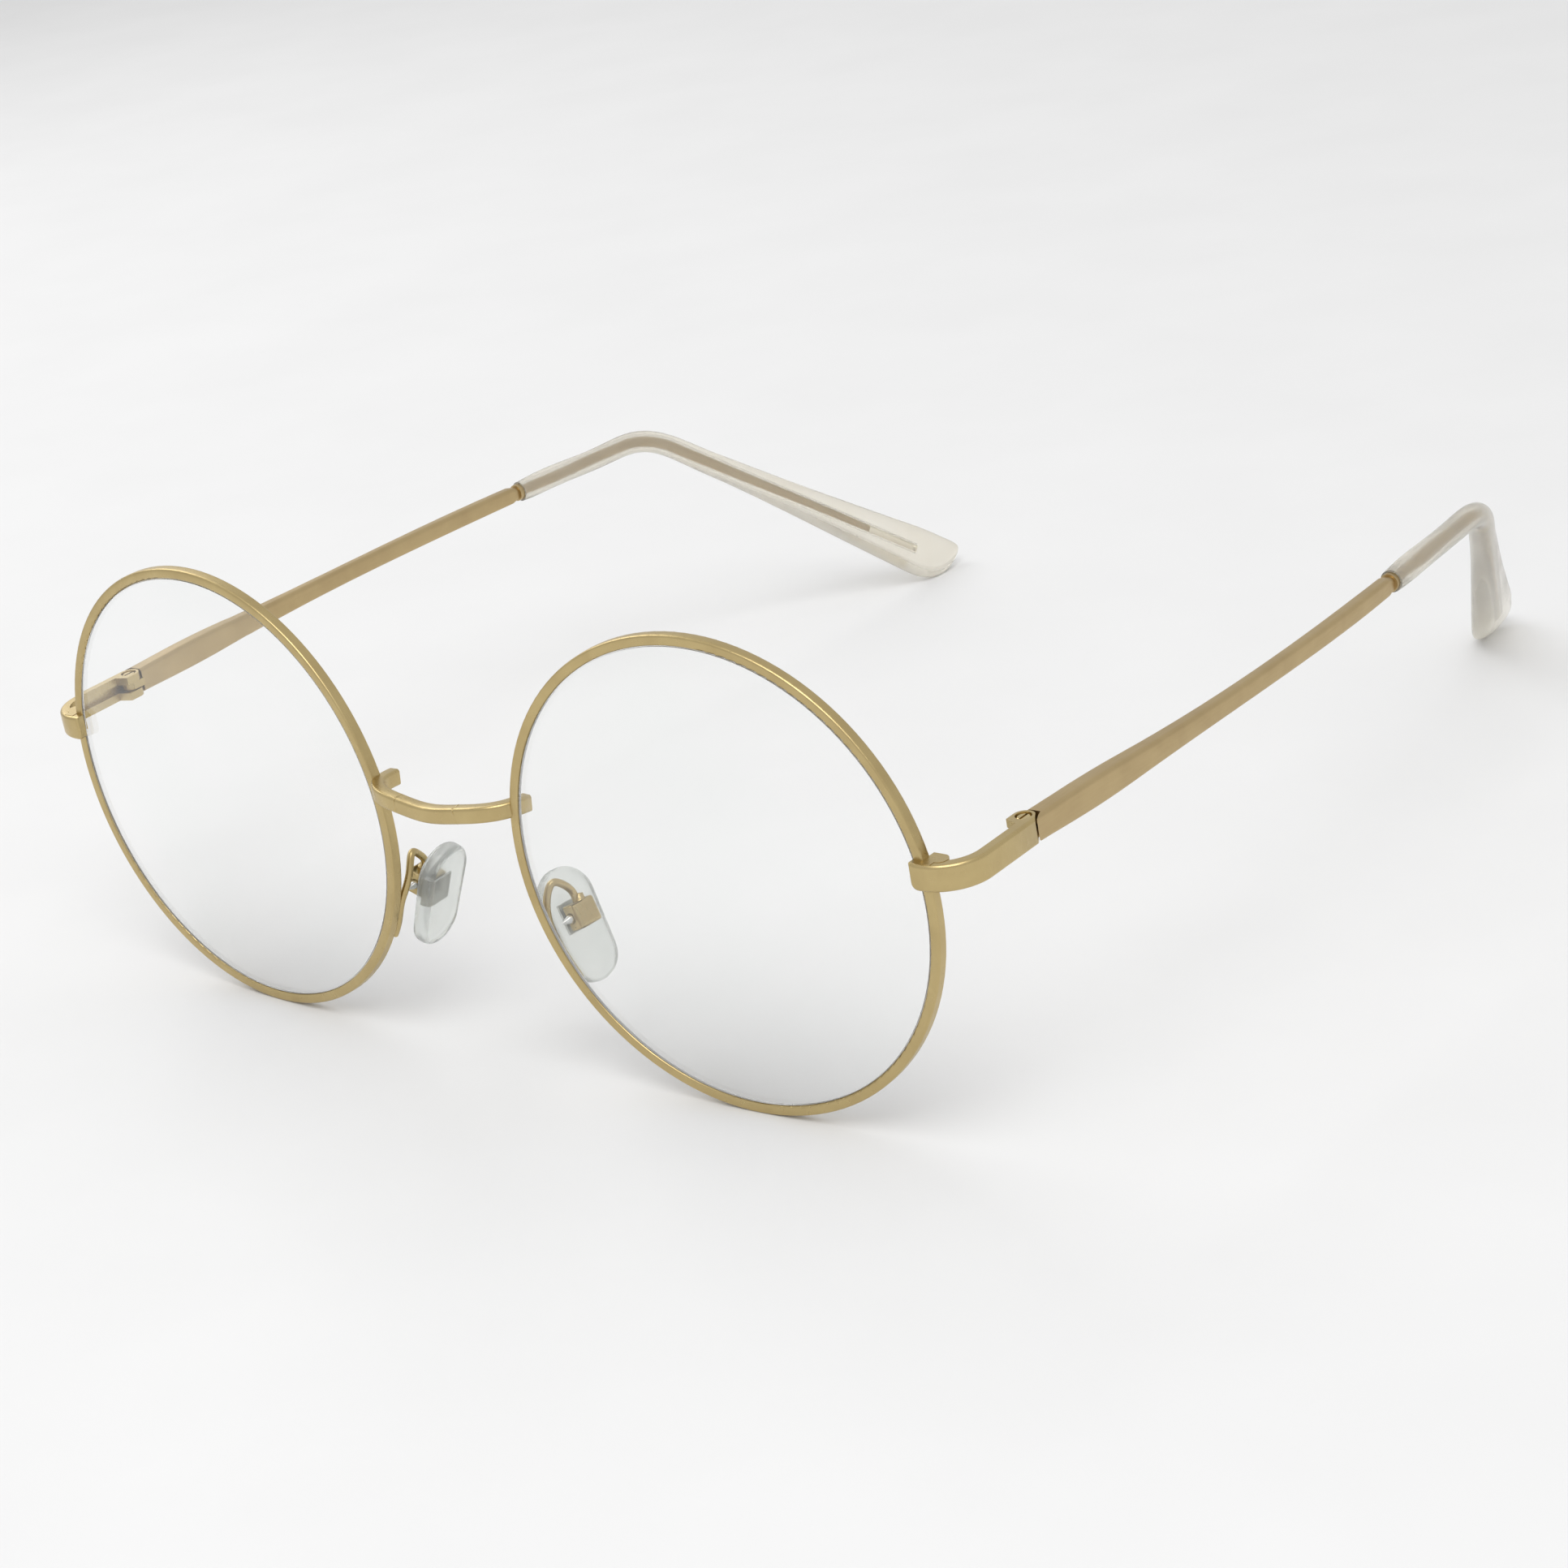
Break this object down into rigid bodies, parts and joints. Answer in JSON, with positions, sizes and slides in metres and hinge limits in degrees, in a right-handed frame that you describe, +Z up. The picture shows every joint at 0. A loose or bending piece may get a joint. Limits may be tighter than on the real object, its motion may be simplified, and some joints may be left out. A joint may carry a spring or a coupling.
{
  "type": "eyeglasses",
  "caption": "Round full-rim metal eyeglasses with a low saddle bridge, adjustable clear nose pads, screw-hinged folding temples and translucent ear tips.",
  "frame": {"origin": "on the surface the glasses stand on, under the middle of their box, with the rims and the ear tips touching that surface", "axes": "+X to the wearer's left, +Y from the lenses back along the temples, +Z up"},
  "size_m": [0.137, 0.1526, 0.0535],
  "materials": {
    "gold_metal": "satin brushed pale gold plating on nickel alloy",
    "gold_screw": "pale gold plated, slotted",
    "steel_screw": "bright turned steel",
    "pad_carrier": "dull nickel",
    "clear_lens": "clear polished, no tint",
    "clear_pad": "clear soft plastic, slightly milky",
    "milky_tip": "translucent milky acetate, polished"
  },
  "bodies": {
    "front_frame": {"rim_left": "gold_metal", "rim_right": "gold_metal", "lens_left": "clear_lens", "lens_right": "clear_lens", "bridge": "gold_metal", "endpiece_left": "gold_metal", "closing_block_upper_left": "gold_metal", "closing_block_lower_left": "gold_metal", "closing_screw_left": "gold_screw", "hinge_screw_left": "gold_screw", "pad_arm_left": "gold_metal", "pad_box_left": "gold_metal", "pad_screw_left": "steel_screw", "endpiece_right": "gold_metal", "closing_block_upper_right": "gold_metal", "closing_block_lower_right": "gold_metal", "closing_screw_right": "gold_screw", "hinge_screw_right": "gold_screw", "pad_arm_right": "gold_metal", "pad_box_right": "gold_metal", "pad_screw_right": "steel_screw"},
    "left_temple": {"hinge_knuckle_left": "gold_metal", "temple_left": "gold_metal", "temple_tip_left": "milky_tip"},
    "right_temple": {"hinge_knuckle_right": "gold_metal", "temple_right": "gold_metal", "temple_tip_right": "milky_tip"},
    "left_nose_pad": {"nose_pad_left": "clear_pad", "pad_insert_left": "pad_carrier"},
    "right_nose_pad": {"nose_pad_right": "clear_pad", "pad_insert_right": "pad_carrier"}
  },
  "joints": [
    {"name": "temple_fold_left", "type": "hinge", "parent": "front_frame", "child": "left_temple", "pos_m": [0.06585, -0.05854, 0.03115], "axis": [0, -0.0155, 0.9999], "range_deg": [0, 84]},
    {"name": "temple_fold_right", "type": "hinge", "parent": "front_frame", "child": "right_temple", "pos_m": [-0.06585, -0.05854, 0.03115], "axis": [0, 0.0155, -0.9999], "range_deg": [0, 72]},
    {"name": "pad_rock_left", "type": "hinge", "parent": "front_frame", "child": "left_nose_pad", "pos_m": [0.0121, -0.06733, 0.01742], "axis": [0.0763, 0.9971, -0.0008], "range_deg": [-6, 6]},
    {"name": "pad_rock_right", "type": "hinge", "parent": "front_frame", "child": "right_nose_pad", "pos_m": [-0.0121, -0.06733, 0.01742], "axis": [0.0763, -0.9971, 0.0008], "range_deg": [-6, 6]}
  ]
}
